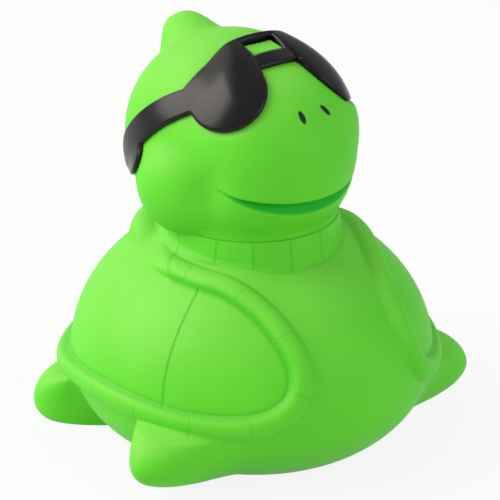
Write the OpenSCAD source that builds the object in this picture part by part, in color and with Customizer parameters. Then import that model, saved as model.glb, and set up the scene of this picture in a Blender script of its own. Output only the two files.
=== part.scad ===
// Squeaky bath toy: a hollow soft-vinyl turtle with sunglasses and a reed squeaker in its base.
// The toy faces -Y, +Z is up and the origin is the middle of the base.

/* [Body] */
// Radius of the body at its widest level
dome_r = 38.8; // [35:0.1:43]
// How much further the belly bulges than the sides
belly_out = 0.8; // [0:0.1:2]
// Height of the widest level above the base
dome_z = 17.5; // [15:0.1:20]
// Half-height of the dome below its widest level
dome_drop = 23.5; // [21.5:0.1:28]
// Rise of the belly above the widest level
belly_rise = 28.7; // [25:0.1:30]
// Rise of the shell's sides above the widest level
side_rise = 31; // [28:0.1:33]
// Rise of the shell behind the neck above the widest level
nape_rise = 32.5; // [29:0.1:34]
// Wall of the cast skin
wall = 2; // [1.4:0.1:2.6]
// Thickness of the base round the squeaker
base_wall = 3.5; // [3.2:0.1:5]

/* [Collar] */
// Height of the collar's top, where the head sits
neck_z = 49; // [47:0.1:52]
// Radius of the collar at its foot
collar_r = 19.6; // [18.6:0.1:21]
// How much the collar draws in towards its top
collar_taper = 1.2; // [0:0.1:1.8]
// Height of the collar band
collar_h = 8; // [5:0.1:10]
// Wall of the collar round the head's spigot
collar_wall = 2.4; // [1.8:0.1:3]
// Length of the head's spigot
spigot_l = 8; // [5:0.1:9]
// Wall of the spigot
spigot_wall = 2; // [1.4:0.1:2.6]
// How much further down the sleeve round the spigot reaches
sleeve_more = 1.5; // [0.5:0.1:2]

/* [Shell rim] */
// Radius of the round rim along the shell's edge
rim_r = 2.1; // [1.6:0.1:2.5]
// Radius of the thick lip into which the rim swells behind the neck
nape_lip_r = 3.7; // [2.5:0.1:3.8]

/* [Feet] */
// Direction of the front feet from the toy's front, in degrees
front_foot_az = 65.5; // [56:0.5:68]
// How far the front feet reach past the widest radius
front_foot_out = 9.5; // [6:0.1:11]
// Height of the middle of a front foot
front_foot_z = 9.2; // [8.5:0.1:11]
// Half-width of a front foot behind its middle
front_foot_w = 5.6; // [5:0.1:9]
// Length of the soft slope from the middle of a front foot to the belly
front_foot_fore_w = 17.8; // [10:0.1:20]
// Half-height of a front foot
front_foot_h = 7.6; // [7:0.1:9.5]
// Direction of the rear feet from the toy's front, in degrees
rear_foot_az = 132; // [125:1:140]
// How far the rear feet reach past the widest radius
rear_foot_out = 8.8; // [5:0.1:10]
// Height of the middle of a rear foot
rear_foot_z = 3.6; // [3:0.1:6]
// Half-width of a rear foot
rear_foot_w = 7.4; // [6.5:0.1:9]
// Half-height of a rear foot
rear_foot_h = 8.3; // [7:0.1:9]

/* [Head] */
// Rise of the head's centre above the collar
head_rise = 15; // [14:0.1:17]
// Half-width of the cranium
cranium_w = 22; // [20:0.1:24]
// Half-length of the cranium
cranium_l = 24.5; // [22:0.1:27]
// Half-height of the cranium
cranium_h = 22.4; // [21:0.1:24]
// How far the cranium's middle lies behind the head's centre
cranium_back = 6; // [4:0.1:8]
// Half-width of the face
face_w = 18.5; // [16:0.1:20]
// Half-length of the face
face_l = 17.5; // [15:0.1:20]
// Half-height of the face
face_h = 18.3; // [16:0.1:20]
// How far the face's middle lies in front of the head's centre
face_front = 6; // [4:0.1:8]
// How far the face's middle lies above the head's centre
face_rise = 0.7; // [0:0.1:3]
// Half-width of the jaw
jaw_w = 20; // [19:0.1:22]
// Half-length of the jaw
jaw_l = 19.6; // [19:0.1:22]
// Half-height of the jaw
jaw_h = 15; // [14:0.1:18]
// How far the jaw's middle lies below the head's centre
jaw_drop = 6.5; // [5:0.1:8]
// How far the jaw's middle lies behind the head's centre
jaw_back = 0.7; // [0:0.1:1.5]
// How far each cheek's middle lies to the side
cheek_side = 12; // [10:0.1:13]
// How far each cheek's middle lies behind the head's centre
cheek_back = 2.5; // [1:0.1:4]
// How far each cheek's middle lies below the head's centre
cheek_drop = 5.5; // [4:0.1:7]
// Half-width of a cheek
cheek_w = 13; // [11:0.1:14]
// Half-length of a cheek
cheek_l = 12.5; // [11:0.1:14]
// Half-height of a cheek
cheek_h = 12.5; // [11:0.1:14]
// Height of the knob on the back of the head
knob_h = 6.3; // [5:0.1:9]
// Depth of the fold between each cheek and the muzzle
fold_depth = 0.8; // [0:0.1:1.2]
// Depth of the smiling mouth
mouth_depth = 2.2; // [1:0.1:3]

/* [Sunglasses] */
// Thickness of the sunglasses at their arms
glasses_t = 0.9; // [0.8:0.1:1.6]
// How much thicker the sunglasses are along their brow
brow_more = 1.4; // [0:0.1:1.6]
// How far the middle of each lens bulges
lens_bulge = 0.8; // [0:0.1:1.2]
// Gap between the sunglasses and the head
glasses_gap = 0.2; // [0.15:0.05:0.3]
// Width of the window through the bridge
window_w = 7.4; // [5:0.1:8]
// Length of the window through the bridge
window_l = 4.5; // [3:0.1:5]
// Height of the pad of the head that fills the window
pad_h = 1.1; // [0.3:0.1:1.3]
// Radius of the peg behind each lens
peg_r = 1.2; // [0.8:0.1:1.6]
// Length of the peg inside the head
peg_l = 3; // [1.5:0.1:3.5]

/* [Squeaker] */
// Outer radius of the squeaker's barrel
barrel_r = 7; // [6.6:0.1:8]
// Wall of the barrel
barrel_wall = 1.8; // [1.4:0.1:2.2]
// Height of the barrel's top above the base
barrel_top = 17; // [15:0.1:20]
// Width of the flange round the barrel
flange_w = 2.5; // [2:0.1:4]
// Thickness of the flange
flange_t = 1.2; // [0.8:0.1:1.6]
// How deep the flange lies inside the base
flange_sink = 0.3; // [0.2:0.1:0.6]
// How far the snap bead stands out of the barrel
bead_out = 0.8; // [0.4:0.1:1.2]
// Height of the snap bead
bead_h = 1.4; // [1:0.1:2]
// Thickness of the grille disc
grille_t = 1; // [0.8:0.1:1.4]
// Radius of each hole in the grille
grille_hole_r = 0.7; // [0.5:0.05:0.9]
// Width of the ledges that the grille and the reed seat rest on
ledge_step = 0.6; // [0.4:0.1:0.8]
// Thickness of the reed seat's plug
seat_t = 3.5; // [2.5:0.1:4]
// Radius of the half-round tongue that the reed lies on
tongue_r = 3.2; // [2.8:0.1:3.6]
// Length of the tongue
tongue_l = 8.5; // [7.5:0.1:9]
// Width of the reed
reed_w = 3.6; // [3:0.1:4]
// Thickness of the reed
reed_t = 0.18; // [0.12:0.02:0.24]
// Length of the reed below its bead
reed_l = 7; // [6:0.1:7.4]
// Radius of the round bead at the reed's root
reed_bead_r = 0.6; // [0.5:0.05:0.7]
// Width of the air channel behind the reed
channel_w = 2.4; // [1.8:0.1:2.8]
// Depth of the air channel behind the reed
channel_d = 1.6; // [1:0.1:2]
// Thickness of the clamp that holds the reed's bead
clamp_t = 2; // [1.6:0.1:2.6]

/* [Hidden] */
$fn = 72;
vinyl_green = [0.36, 0.80, 0.22];
glossy_black = [0.05, 0.05, 0.05];
ivory_plastic = [0.90, 0.89, 0.84];
amber_film = [0.85, 0.70, 0.40];

// Radial clearance of parts that fit inside each other
fit_gap = 0.06;
// How far a cutting shape runs past what it cuts
overrun = 1;
// Clearance round the pad in the window
pad_gap = 0.25;
// Step used to measure a slope on the skin
slope_step = 0.05;

// Squareness of the feet: 2 is an ellipse
front_foot_power = 1.8;
rear_foot_power = 2.2;
// Sharpness of the corner where a foot meets the rim above it
foot_corner_power = 3;
// Length over which the collar melts into the dome
collar_blend = 1.5;
// Angles at which the belly turns into the sides, and the sides into the nape
belly_az = 12;
side_az = 50;
nape_from_az = 80;
nape_az = 140;

// Course of the shell's rim on one side: angle from the front, share of the collar's height
rim_course_shares = [
    [180, 0.905], [150, 0.905], [127, 0.9], [105, 0.885], [85, 0.87], [65, 0.862],
    [48, 0.845], [35, 0.79], [27, 0.71], [22.5, 0.61], [22.5, 0.515], [26, 0.435], [33, 0.38],
    [43, 0.357], [57, 0.355], [75, 0.375], [90, 0.38], [110, 0.36], [135, 0.33], [180, 0.32]
];
rim_steps = 12;
rim_spread_share = 1.3;
rim_low_share = 0.35;
lip_from_az = 80;
// The rim sinks towards the collar's side, between these angles and by this share
sink_from_az = 58;
sink_full_az = 83;
sink_share = 0.8;
lip_full_az = 120;

// Directions of the knob and the extents of the face's features, in degrees
knob_el = 37.5;
knob_spread = 18;
knob_full_share = 1.2;
mouth_az = 59;
mouth_top_el = -14.2;
mouth_low_el = -24;
mouth_corner_el = -8.3;
mouth_least = 3;
rim_angle = 6;
face_blend = 4;
fold_az = 60;
fold_el = -7;
fold_spread_az = 10;
fold_spread_el = 14;

// Sunglasses: tilt of their ring, and outline as angles round and along that ring
glasses_tilt = 32;
arm_lat = 28.6;
arm_half_lat = 7.6;
arm_bend_az = 66;
arm_end_az = 128;
arm_droop = 16.8;
arm_tip = 10;
ear_az = 116.5;
ear_w = 13;
ear_lat = 14;
ear_deep = 11;
ear_power = 2.5;
brow_lat = 21;
brow_az = 67;
brow_power = 2.4;
bridge_lat = 32.5;
lens_az = 39;
lens_lat = 28;
lens_deep = 25.3;
lens_nose = 23.5;
lens_out = 25.3;
temple_blend = 3;
window_lat = 48.5;
// Angles at which the brow starts to thin and is thin, and where and how wide the lens bulges
thinning_az = 26;
thin_az = 52;
bulge_az = 36;
bulge_half_az = 24;
peg_lat = 22;

// Derived sizes
collar_top_r = collar_r - collar_taper;
neck_bore_r = collar_top_r - collar_wall;
throat_r = neck_bore_r + collar_wall / 2;
spigot_r = neck_bore_r - fit_gap;
spigot_in_r = spigot_r - spigot_wall;
spigot_z = neck_z - spigot_l;
sleeve_z = spigot_z - sleeve_more;
head_centre = [0, 0, neck_z + head_rise];
collar_el = atan(head_rise / collar_top_r);
plug_hole_r = barrel_r + fit_gap;
recess_h = flange_sink + flange_t;
bore_r = barrel_r - barrel_wall;
seat_r = bore_r + ledge_step;
seat_z = barrel_top - seat_t;
reed_y = fit_gap + reed_t / 2;
bead_z = seat_z - fit_gap - 2 * reed_bead_r;

// Plain maths
function smooth(t) = let (u = min(max(t, 0), 1)) u * u * (3 - 2 * u);
function mix(a, b, t) = a + (b - a) * t;
function blend_max(a, b, k) = let (h = max(k - abs(a - b), 0) / k) max(a, b) + h * h * k / 4;
function run(a, b, n) = [for (i = [0:n - 1]) mix(a, b, i / n)];
function backwards(list) = [for (i = [len(list) - 1:-1:0]) list[i]];
function both_sides(half) = concat([for (a = backwards(half)) if (a > 0) -a], half);
function polar(r, az, z) = [r * sin(az), -r * cos(az), z];
function ring(r, z, columns) = [for (a = columns) polar(r, a, z)];

// Distance from p along d to the far side of an ellipsoid with middle c and half-sizes s
function exit(p, d, c, s) =
    let (
        q = [for (i = [0:2]) (p[i] - c[i]) / s[i]],
        e = [for (i = [0:2]) d[i] / s[i]],
        inside = (q * e) ^ 2 - (e * e) * (q * q - 1)
    )
    inside > 0 ? (sqrt(inside) - q * e) / (e * e) : 0;

// Smooth course through points, each given as a list of two numbers
function spline_at(a, b, c, d, t) =
    (2 * b + (c - a) * t + (2 * a - 5 * b + 4 * c - d) * t ^ 2 + (3 * b - a - 3 * c + d) * t ^ 3) / 2;
function spline(points, steps) = [
    for (i = [0:len(points) - 2], k = [0:steps - 1])
        spline_at(
            points[max(i - 1, 0)], points[i], points[i + 1],
            points[min(i + 2, len(points) - 1)], k / steps
        )
];

// Body: radius of the skin at an angle from the front and a height
function dome_rise(az) =
    mix(belly_rise, side_rise, smooth((az - belly_az) / (side_az - belly_az)))
    + (nape_rise - side_rise) * smooth((az - nape_from_az) / (nape_az - nape_from_az));
function dome_radius(az, z) =
    let (t = z > dome_z ? (z - dome_z) / dome_rise(az) : (dome_z - z) / dome_drop)
    (dome_r + belly_out * (1 - smooth(az / side_az))) * sqrt(max(1 - t ^ 2, 0));
function hump(t, power) = (1 - min(abs(t), 1) ^ power) ^ (1 / power);
function foot_share(turn, lift, soft_w, half_w, power) =
    abs(turn) > 90 ? 0
    : hump(lift, power) * (turn < 0 && soft_w > 0
        ? 1 - smooth(-dome_r * sin(turn) / soft_w)
        : hump(dome_r * sin(turn) / half_w, power));
function collar_radius(z) = collar_r - collar_taper * min(max((z - neck_z) / collar_h + 1, 0), 1);
function shell_radius(az, z) = blend_max(dome_radius(abs(az), z), collar_radius(z), collar_blend);
function foot_reach(side, z) =
    let (
        az = abs(side),
        front_lift = (z - front_foot_z) / front_foot_h,
        rear_lift = (z - rear_foot_z) / rear_foot_h,
        front = foot_share(
            az - front_foot_az, front_lift, front_foot_fore_w, front_foot_w, front_foot_power
        ),
        rear = foot_share(az - rear_foot_az, rear_lift, 0, rear_foot_w, rear_foot_power),
        dome = dome_radius(az, z)
    )
    mix(mix(dome, dome_r + front_foot_out, front), dome_r + rear_foot_out, rear) - dome;
function body_radius(az, z) = shell_radius(az, z) + foot_reach(az, z);
function shell_point(az, z) = polar(shell_radius(az, z), az, z);
function shell_normal(az, z) =
    let (
        p = shell_point(az, z),
        across = shell_point(az + slope_step, z) - p,
        up = shell_point(az, z + slope_step) - p,
        n = cross(across, up)
    )
    n / norm(n);
function body_point(az, z) = polar(body_radius(az, z), az, z);
function body_normal(az, z) =
    let (
        p = body_point(az, z),
        across = body_point(az + slope_step, z) - p,
        up = body_point(az, z + slope_step) - p,
        n = cross(across, up)
    )
    n / norm(n);

// The rim stands on the skin as a round bead along its course
rim_path = [for (c = spline(rim_course_shares, rim_steps)) shell_point(c[0], c[1] * neck_z)];
function rim_distance(p) = let (q = [abs(p[0]), p[1], p[2]]) min([for (c = rim_path) norm(q - c)]);
function rim_height(az, z) =
    let (
        upper = z > 2 * dome_z ? 1 : 0,
        swell = upper * smooth((abs(az) - lip_from_az) / (lip_full_az - lip_from_az)),
        sunk = upper * sink_share * smooth((abs(az) - sink_from_az) / (sink_full_az - sink_from_az)),
        r = mix(rim_r, nape_lip_r, swell),
        d = rim_distance(shell_point(az, z))
    )
    r * (1 - sunk * (1 - swell)) * max(1 - (d / (rim_spread_share * r)) ^ 2, 0);
function outer_point(az, z) =
    let (
        bead = rim_height(az, z),
        foot = foot_reach(az, z),
        both = (bead ^ foot_corner_power + foot ^ foot_corner_power) ^ (1 / foot_corner_power)
    )
    shell_point(az, z) + shell_normal(az, z) * bead + polar(both - bead, az, 0);
function inner_point(az, z) =
    let (lean = body_normal(az, z), level = max(norm([lean[0], lean[1]]), 0.4))
    polar(max(body_radius(az, z) - wall / level, throat_r), az, z);

// Faces of a skin made of rings that all have the same number of points
function quads(rings, n, joined) = [
    for (i = [0:rings - (joined ? 1 : 2)], j = [0:n - 1])
        let (
            a = i * n + j,
            b = i * n + (j + 1) % n,
            c = ((i + 1) % rings) * n + (j + 1) % n,
            d = ((i + 1) % rings) * n + j
        )
        each [[a, d, c], [a, c, b]]
];
function flat(rings) = [for (r = rings) each r];

body_columns = concat(
    both_sides(concat(
        run(0, 15, 3), run(15, 47, 14), run(47, 77, 10),
        run(77, 117, 8), run(117, 147, 9), run(147, 180, 6)
    )), [180]
);
rim_low_z = rim_low_share * neck_z;
rim_from_z = rim_low_z - 2 * rim_r;
rim_to_z = rim_low_z + 2 * rim_r;
collar_mid_z = neck_z - collar_h / 2;
function dome_angle(z) = asin(min((z - dome_z) / side_rise, 0.98));
body_rows = concat(
    run(0, rim_from_z, 8), run(rim_from_z, rim_to_z, 10),
    [for (a = run(dome_angle(rim_to_z), dome_angle(collar_mid_z), 22)) dome_z + side_rise * sin(a)],
    run(collar_mid_z, neck_z, 4), [neck_z]
);
inner_rows = concat(run(base_wall, neck_z - collar_h, 10), [neck_z - collar_h]);

module cast_body() {
    hole = plug_hole_r - overrun;
    rings = concat(
        [ring(hole, 0, body_columns)],
        [for (z = body_rows) [for (a = body_columns) outer_point(a, z)]],
        [ring(throat_r, neck_z, body_columns)],
        [for (z = backwards(inner_rows)) [for (a = body_columns) inner_point(a, z)]],
        [ring(hole, base_wall, body_columns)]
    );
    polyhedron(flat(rings), quads(len(rings), len(body_columns), true), convexity = 8);
}

module neck_sleeve() {
    sleeve_r = throat_r + collar_wall / 4;
    sleeve_top = neck_z - wall / 4;
    translate([0, 0, sleeve_z])
        difference() {
            cylinder(r = sleeve_r, h = sleeve_top - sleeve_z);
            translate([0, 0, -overrun])
                cylinder(r = neck_bore_r, h = sleeve_top - sleeve_z + 2 * overrun);
        }
}

module body_skin() {
    color(vinyl_green)
        difference() {
            union() {
                cast_body();
                neck_sleeve();
            }
            translate([0, 0, -overrun]) cylinder(r = plug_hole_r, h = base_wall + 2 * overrun);
            translate([0, 0, -overrun])
                cylinder(r = barrel_r + flange_w + fit_gap, h = recess_h + overrun);
        }
}

// Head: radius of the skin in a direction from the head's centre
function direction(az, el) = [cos(el) * sin(az), -cos(el) * cos(az), sin(el)];
function knob_lift(d) =
    let (turn = acos(min(max(d * direction(180, knob_el), -1), 1)))
    knob_h * smooth(knob_full_share * (1 - turn / knob_spread));
function cheek_fold(d) =
    let (turn = abs(atan2(d[0], -d[1])), el = asin(d[2]))
    fold_depth * exp(-((turn - fold_az) / fold_spread_az) ^ 2 - ((el - fold_el) / fold_spread_el) ^ 2);
function mouth_share(az) = min((az / mouth_az) ^ 2, 1);
function lip_el(az) = mix(mouth_top_el, mouth_corner_el, mouth_share(az));
function chin_el(az) = min(mix(mouth_low_el, mouth_corner_el, mouth_share(az)), lip_el(az) - mouth_least);
function mouth_dip(az, row) =
    row > 2 && row < 3 ? mouth_depth * (1 - mouth_share(az)) * smooth(row - 2) : 0;
function row_el(az, row) =
    row < 1 ? mix(-collar_el - rim_angle, -collar_el + rim_angle, row)
    : row < 2 ? mix(-collar_el + rim_angle, chin_el(az), row - 1)
    : row < 3 ? mix(chin_el(az), lip_el(az), row - 2)
    : mix(lip_el(az), 90, row - 3);
function round_head(d) =
    let (
        m = [abs(d[0]), d[1], d[2]],
        o = [0, 0, 0],
        cranium = exit(o, m, [0, cranium_back, 0], [cranium_w, cranium_l, cranium_h]),
        face = exit(o, m, [0, -face_front, face_rise], [face_w, face_l, face_h]),
        jaw = exit(o, m, [0, jaw_back, -jaw_drop], [jaw_w, jaw_l, jaw_h]),
        cheek = exit(o, m, [cheek_side, cheek_back, -cheek_drop], [cheek_w, cheek_l, cheek_h])
    )
    knob_lift(d) - cheek_fold(d)
    + blend_max(blend_max(blend_max(cranium, face, face_blend), jaw, face_blend), cheek, face_blend);
function head_radius(d, dip, floor_z) =
    let (full = round_head(d) - dip)
    d[2] < 0 ? min(full, floor_z / -d[2]) : full;
function head_point(az, row) =
    let (d = direction(az, row_el(az, row)))
    head_centre + d * head_radius(d, mouth_dip(az, row), head_rise);
function hollow_point(az, el) =
    let (d = direction(az, el), extra = mouth_depth * smooth(1 - abs(el - mouth_low_el) / mouth_az))
    head_centre + d * head_radius(d, wall + extra, head_rise - wall);

head_columns = concat(both_sides(run(0, 180, 24)), [180]);
head_rows = concat(run(0, 1, 5), run(1, 2, 4), run(2, 2.9, 5), [2.96, 3], run(3.12, 4, 14));
hollow_els = concat(
    run(-collar_el - rim_angle, -collar_el + rim_angle, 3), run(-collar_el + rim_angle, 90, 12)
);

module cast_head() {
    n = len(head_columns);
    mid_r = (spigot_r + spigot_in_r) / 2;
    top = head_centre + [0, 0, round_head([0, 0, 1])];
    outer = concat(
        [ring(mid_r, neck_z, head_columns)],
        [for (row = head_rows) [for (a = head_columns) head_point(a, row)]]
    );
    hollow = concat(
        [for (el = backwards(hollow_els)) [for (a = head_columns) hollow_point(a, el)]],
        [ring(mid_r, neck_z + wall, head_columns)]
    );
    crown = len(outer) * n;
    first = crown + 1;
    last = first + len(hollow) * n;
    ends = last - n;
    polyhedron(
        concat(flat(outer), [top], flat(hollow), [top - [0, 0, wall]]),
        concat(
            quads(len(outer), n, false),
            [for (j = [0:n - 1]) [crown - n + j, crown, crown - n + (j + 1) % n]],
            [for (j = [0:n - 1]) [first + j, first + (j + 1) % n, last]],
            [for (f = quads(len(hollow), n, false)) [for (i = f) first + i]],
            [for (j = [0:n - 1]) each [
                [ends + j, j, (j + 1) % n], [ends + j, (j + 1) % n, ends + (j + 1) % n]
            ]]
        ),
        convexity = 8
    );
}

module head_skin() {
    spigot_top = neck_z + wall / 2;
    color(vinyl_green)
        difference() {
            union() {
                cast_head();
                translate([0, 0, spigot_z])
                    difference() {
                        cylinder(r = spigot_r, h = spigot_top - spigot_z);
                        translate([0, 0, -overrun])
                            cylinder(r = spigot_in_r, h = spigot_top - spigot_z + 2 * overrun);
                    }
            }
            lens_pegs(peg_r + fit_gap, peg_l + overrun);
        }
    color(vinyl_green) window_pad();
}

// Prism through the window of the sunglasses, from one distance to another from the head's centre
module window_prism(from, to, margin) {
    translate(head_centre)
        rotate([90 - glasses_tilt - window_lat, 0, 0])
            translate([0, 0, from])
                linear_extrude(to - from)
                    square([window_w - 2 * margin, window_l - 2 * margin], center = true);
}

// Pad of the head that fills the window
module window_pad() {
    skin_r = round_head(ring_direction(0, window_lat));
    window_prism(skin_r - wall / 2, skin_r + pad_h, pad_gap);
}

// Sunglasses: their outline is a band round a tilted ring, wider at each lens
function ring_direction(az, lat) =
    let (el = glasses_tilt)
    cos(lat) * ([sin(az), 0, 0] + cos(az) * [0, -cos(el), sin(el)]) + sin(lat) * [0, sin(el), cos(el)];
function arm_middle(az) = arm_lat - arm_droop * max((az - arm_bend_az) / (arm_end_az - arm_bend_az), 0) ^ 2;
function arm_half(az) =
    arm_half_lat * sqrt(1 - 0.9 * max((az - arm_end_az) / arm_tip + 1, 0) ^ 2);
function lens_edge(az) =
    let (t = (az - lens_az) / (az < lens_az ? lens_nose : lens_out))
    abs(t) < 1 ? lens_lat - lens_deep * sqrt(1 - t ^ 2) : bridge_lat;
function ear_edge(az) =
    let (t = min(abs(az - ear_az) / ear_w, 1)) ear_lat - ear_deep * (1 - t ^ ear_power) ^ (1 / ear_power);
function temple_edge(az) =
    let (arm = arm_middle(az) - arm_half(az))
    min(-blend_max(-arm, -lens_edge(az), temple_blend), abs(az - ear_az) < ear_w ? ear_edge(az) : arm);
function low_lat(side) =
    let (az = abs(side)) az < lens_az ? min(bridge_lat, lens_edge(az)) : temple_edge(az);
function high_lat(side) =
    let (az = abs(side)) arm_middle(az) + arm_half(az) + brow_lat * (1 - min(az / brow_az, 1) ^ brow_power);
function glasses_thick(side, share) =
    let (az = abs(side), bulge = smooth(1 - abs(az - bulge_az) / bulge_half_az) * (1 - (2 * share - 1) ^ 2))
    glasses_t + brow_more * share * smooth((thin_az - az) / (thin_az - thinning_az)) + lens_bulge * bulge;
function glasses_point(az, lat, out) =
    let (d = ring_direction(az, lat)) head_centre + d * (round_head(d) + glasses_gap + out);

// Pegs behind the lenses, pointing at the head's centre
module lens_pegs(r, length) {
    d = ring_direction(lens_az, peg_lat);
    far = round_head(d) + glasses_gap + glasses_t / 2;
    near = round_head(d) - length;
    for (x = [-1, 1])
        translate(head_centre)
            rotate([0, acos(d[2]), atan2(d[1], x * d[0])])
                translate([0, 0, near])
                    cylinder(r = r, h = far - near);
}

nose_az = lens_az - lens_nose;
temple_az = lens_az + lens_out;
tip_az = arm_end_az - arm_tip;
ear_from_az = ear_az - ear_w;
glasses_columns = both_sides(concat(
    run(0, nose_az - 1, 4), run(nose_az - 1, nose_az + 7, 8), run(nose_az + 7, temple_az - 6, 12),
    run(temple_az - 6, temple_az + 5, 8), run(temple_az + 5, ear_from_az, 8),
    run(ear_from_az, ear_from_az + 4, 5), run(ear_from_az + 4, tip_az, 5), run(tip_az, arm_end_az, 6),
    [arm_end_az]
));
glasses_shares = [for (i = [0:7]) i / 7];

module glasses_band() {
    columns = glasses_columns;
    outer = [for (a = columns) [for (s = glasses_shares)
        glasses_point(a, mix(low_lat(a), high_lat(a), s), glasses_thick(a, s))]];
    inner = [for (a = columns) [for (s = backwards(glasses_shares))
        glasses_point(a, mix(low_lat(a), high_lat(a), s), 0)]];
    half = len(glasses_shares);
    n = 2 * half;
    m = len(columns);
    end = (m - 1) * n;
    polyhedron(
        [for (i = [0:m - 1]) each concat(outer[i], inner[i])],
        concat(
            [for (f = quads(m, n, false)) backwards(f)],
            [for (k = [0:half - 2]) each [
                [n - 1 - k, k + 1, k], [n - 1 - k, n - 2 - k, k + 1],
                [end + k, end + k + 1, end + n - 1 - k], [end + k + 1, end + n - 2 - k, end + n - 1 - k]
            ]]
        ),
        convexity = 8
    );
}

module sunglasses() {
    color(glossy_black)
        difference() {
            union() {
                glasses_band();
                lens_pegs(peg_r, peg_l);
            }
            window_prism(0, 2 * cranium_h, 0);
        }
}

// Squeaker: a flanged barrel that snaps into the base, with the reed inside
module squeaker_housing() {
    bead_z0 = base_wall + fit_gap;
    color(ivory_plastic)
        difference() {
            union() {
                translate([0, 0, flange_sink]) cylinder(r = barrel_r, h = barrel_top - flange_sink);
                translate([0, 0, flange_sink]) cylinder(r = barrel_r + flange_w, h = flange_t - fit_gap);
                translate([0, 0, bead_z0])
                    cylinder(r1 = barrel_r + bead_out, r2 = barrel_r, h = bead_h);
            }
            cylinder(r = bore_r, h = barrel_top + overrun);
            cylinder(r = seat_r + fit_gap, h = flange_sink + grille_t);
            translate([0, 0, seat_z]) cylinder(r = seat_r + fit_gap, h = seat_t + overrun);
        }
}

module squeaker_grille() {
    holes = 6;
    color(ivory_plastic)
        translate([0, 0, flange_sink])
            difference() {
                cylinder(r = seat_r, h = grille_t);
                translate([0, 0, -overrun]) cylinder(r = grille_hole_r, h = grille_t + 2 * overrun);
                for (i = [0:holes - 1])
                    rotate([0, 0, i * 360 / holes])
                        translate([bore_r / 2, 0, -overrun])
                            cylinder(r = grille_hole_r, h = grille_t + 2 * overrun);
            }
}

// The reed's axis lies along X, just under the plug of the reed seat
module bead_bore(length) {
    translate([0, reed_y, bead_z])
        rotate([0, 90, 0])
            cylinder(r = reed_bead_r + fit_gap, h = length, center = true);
}

module reed_seat() {
    color(ivory_plastic)
        difference() {
            union() {
                translate([0, 0, seat_z]) cylinder(r = seat_r, h = seat_t);
                translate([0, 0, seat_z - tongue_l])
                    difference() {
                        cylinder(r = tongue_r, h = tongue_l + overrun);
                        translate([-2 * tongue_r, 0, -overrun])
                            cube([4 * tongue_r, 2 * tongue_r, tongue_l + overrun]);
                    }
            }
            translate([-channel_w / 2, -channel_d, seat_z - reed_l])
                cube([channel_w, channel_d, reed_l + seat_t + overrun]);
            bead_bore(reed_w + 2 * fit_gap);
        }
}

module squeaker_reed() {
    color(amber_film)
        union() {
            translate([-reed_w / 2, reed_y - reed_t / 2, bead_z - reed_l])
                cube([reed_w, reed_t, reed_l]);
            translate([0, reed_y, bead_z])
                rotate([0, 90, 0])
                    cylinder(r = reed_bead_r, h = reed_w, center = true);
        }
}

module reed_clamp() {
    clamp_w = reed_w + 2 * reed_bead_r;
    clamp_h = 4 * reed_bead_r;
    slot_w = reed_w + 2 * fit_gap;
    color(ivory_plastic)
        difference() {
            translate([-clamp_w / 2, 0, seat_z - clamp_h]) cube([clamp_w, clamp_t, clamp_h]);
            translate([-slot_w / 2, -overrun, seat_z - clamp_h - overrun])
                cube([slot_w, overrun + reed_y + reed_bead_r / 2, clamp_h / 2 + overrun]);
            bead_bore(slot_w);
        }
}

body_skin();
head_skin();
sunglasses();
squeaker_housing();
squeaker_grille();
reed_seat();
squeaker_reed();
reed_clamp();
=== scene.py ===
# %% [markdown]
# A squeaky bath toy: a soft vinyl turtle in dark sunglasses. The real one is a thin hollow skin
# that comes out of a mould, with a reed plug in its base. The solids of the CAD model give the
# sizes and the joints, and this lesson dresses them: the skins are drawn again with a much
# finer mesh, and then get the grooves, the paint and the satin shine of vinyl.

# %% Load the frame
import bmesh
import bpy
import math
import numpy as np
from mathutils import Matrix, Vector


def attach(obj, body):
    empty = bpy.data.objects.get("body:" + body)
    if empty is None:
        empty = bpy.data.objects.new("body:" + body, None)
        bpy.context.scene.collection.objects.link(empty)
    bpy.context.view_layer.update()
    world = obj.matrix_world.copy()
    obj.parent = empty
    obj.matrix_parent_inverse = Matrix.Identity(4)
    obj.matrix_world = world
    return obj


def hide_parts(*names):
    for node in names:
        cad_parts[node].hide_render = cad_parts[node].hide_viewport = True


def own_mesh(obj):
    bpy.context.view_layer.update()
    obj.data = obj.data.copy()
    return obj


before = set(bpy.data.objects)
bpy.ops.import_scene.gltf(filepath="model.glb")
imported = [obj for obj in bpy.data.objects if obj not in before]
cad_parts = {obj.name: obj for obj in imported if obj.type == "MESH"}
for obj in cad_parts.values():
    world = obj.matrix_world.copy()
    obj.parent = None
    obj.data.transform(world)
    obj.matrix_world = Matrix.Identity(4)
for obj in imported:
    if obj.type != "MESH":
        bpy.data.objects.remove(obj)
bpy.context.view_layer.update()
MM = 0.001

# %% [markdown]
# The camera comes first, because every later choice is judged through it. It stands a little
# above the toy and to its right, with a long lens, as product photographs are taken. A long
# lens keeps the near foot from looking huge. The spot it looks at sits in the body's middle.

# %% Camera
camera_turn, camera_rise = math.radians(-37.55), math.radians(22.67)
camera_away = 0.51992
toward_camera = Vector((
    math.sin(camera_turn) * math.cos(camera_rise),
    -math.cos(camera_turn) * math.cos(camera_rise),
    math.sin(camera_rise),
))
middle = Vector((0, 0, 0.044))
aim = Vector((-0.00119, -0.00099, 0.04038))
lens = bpy.data.cameras.new("photo_camera")
lens.sensor_width = 36
lens.lens = 177.8
camera = bpy.data.objects.new("photo_camera", lens)
camera.location = middle + toward_camera * camera_away
camera.rotation_euler = (aim - camera.location).to_track_quat("-Z", "Y").to_euler()
bpy.context.scene.collection.objects.link(camera)
bpy.context.scene.camera = camera
bpy.context.scene.view_settings.view_transform = "Standard"
print("camera at", [round(v, 3) for v in camera.location])

# %% [markdown]
# Moulded vinyl is one smooth closed surface. It could be sculpted by hand, but formulas keep
# every size exact and can be changed in one place. A few small helpers do most of the work: an
# eased ramp between two values, a mix, and a soft maximum that melts two bulges into each other
# the way a sculptor smooths clay.

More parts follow.
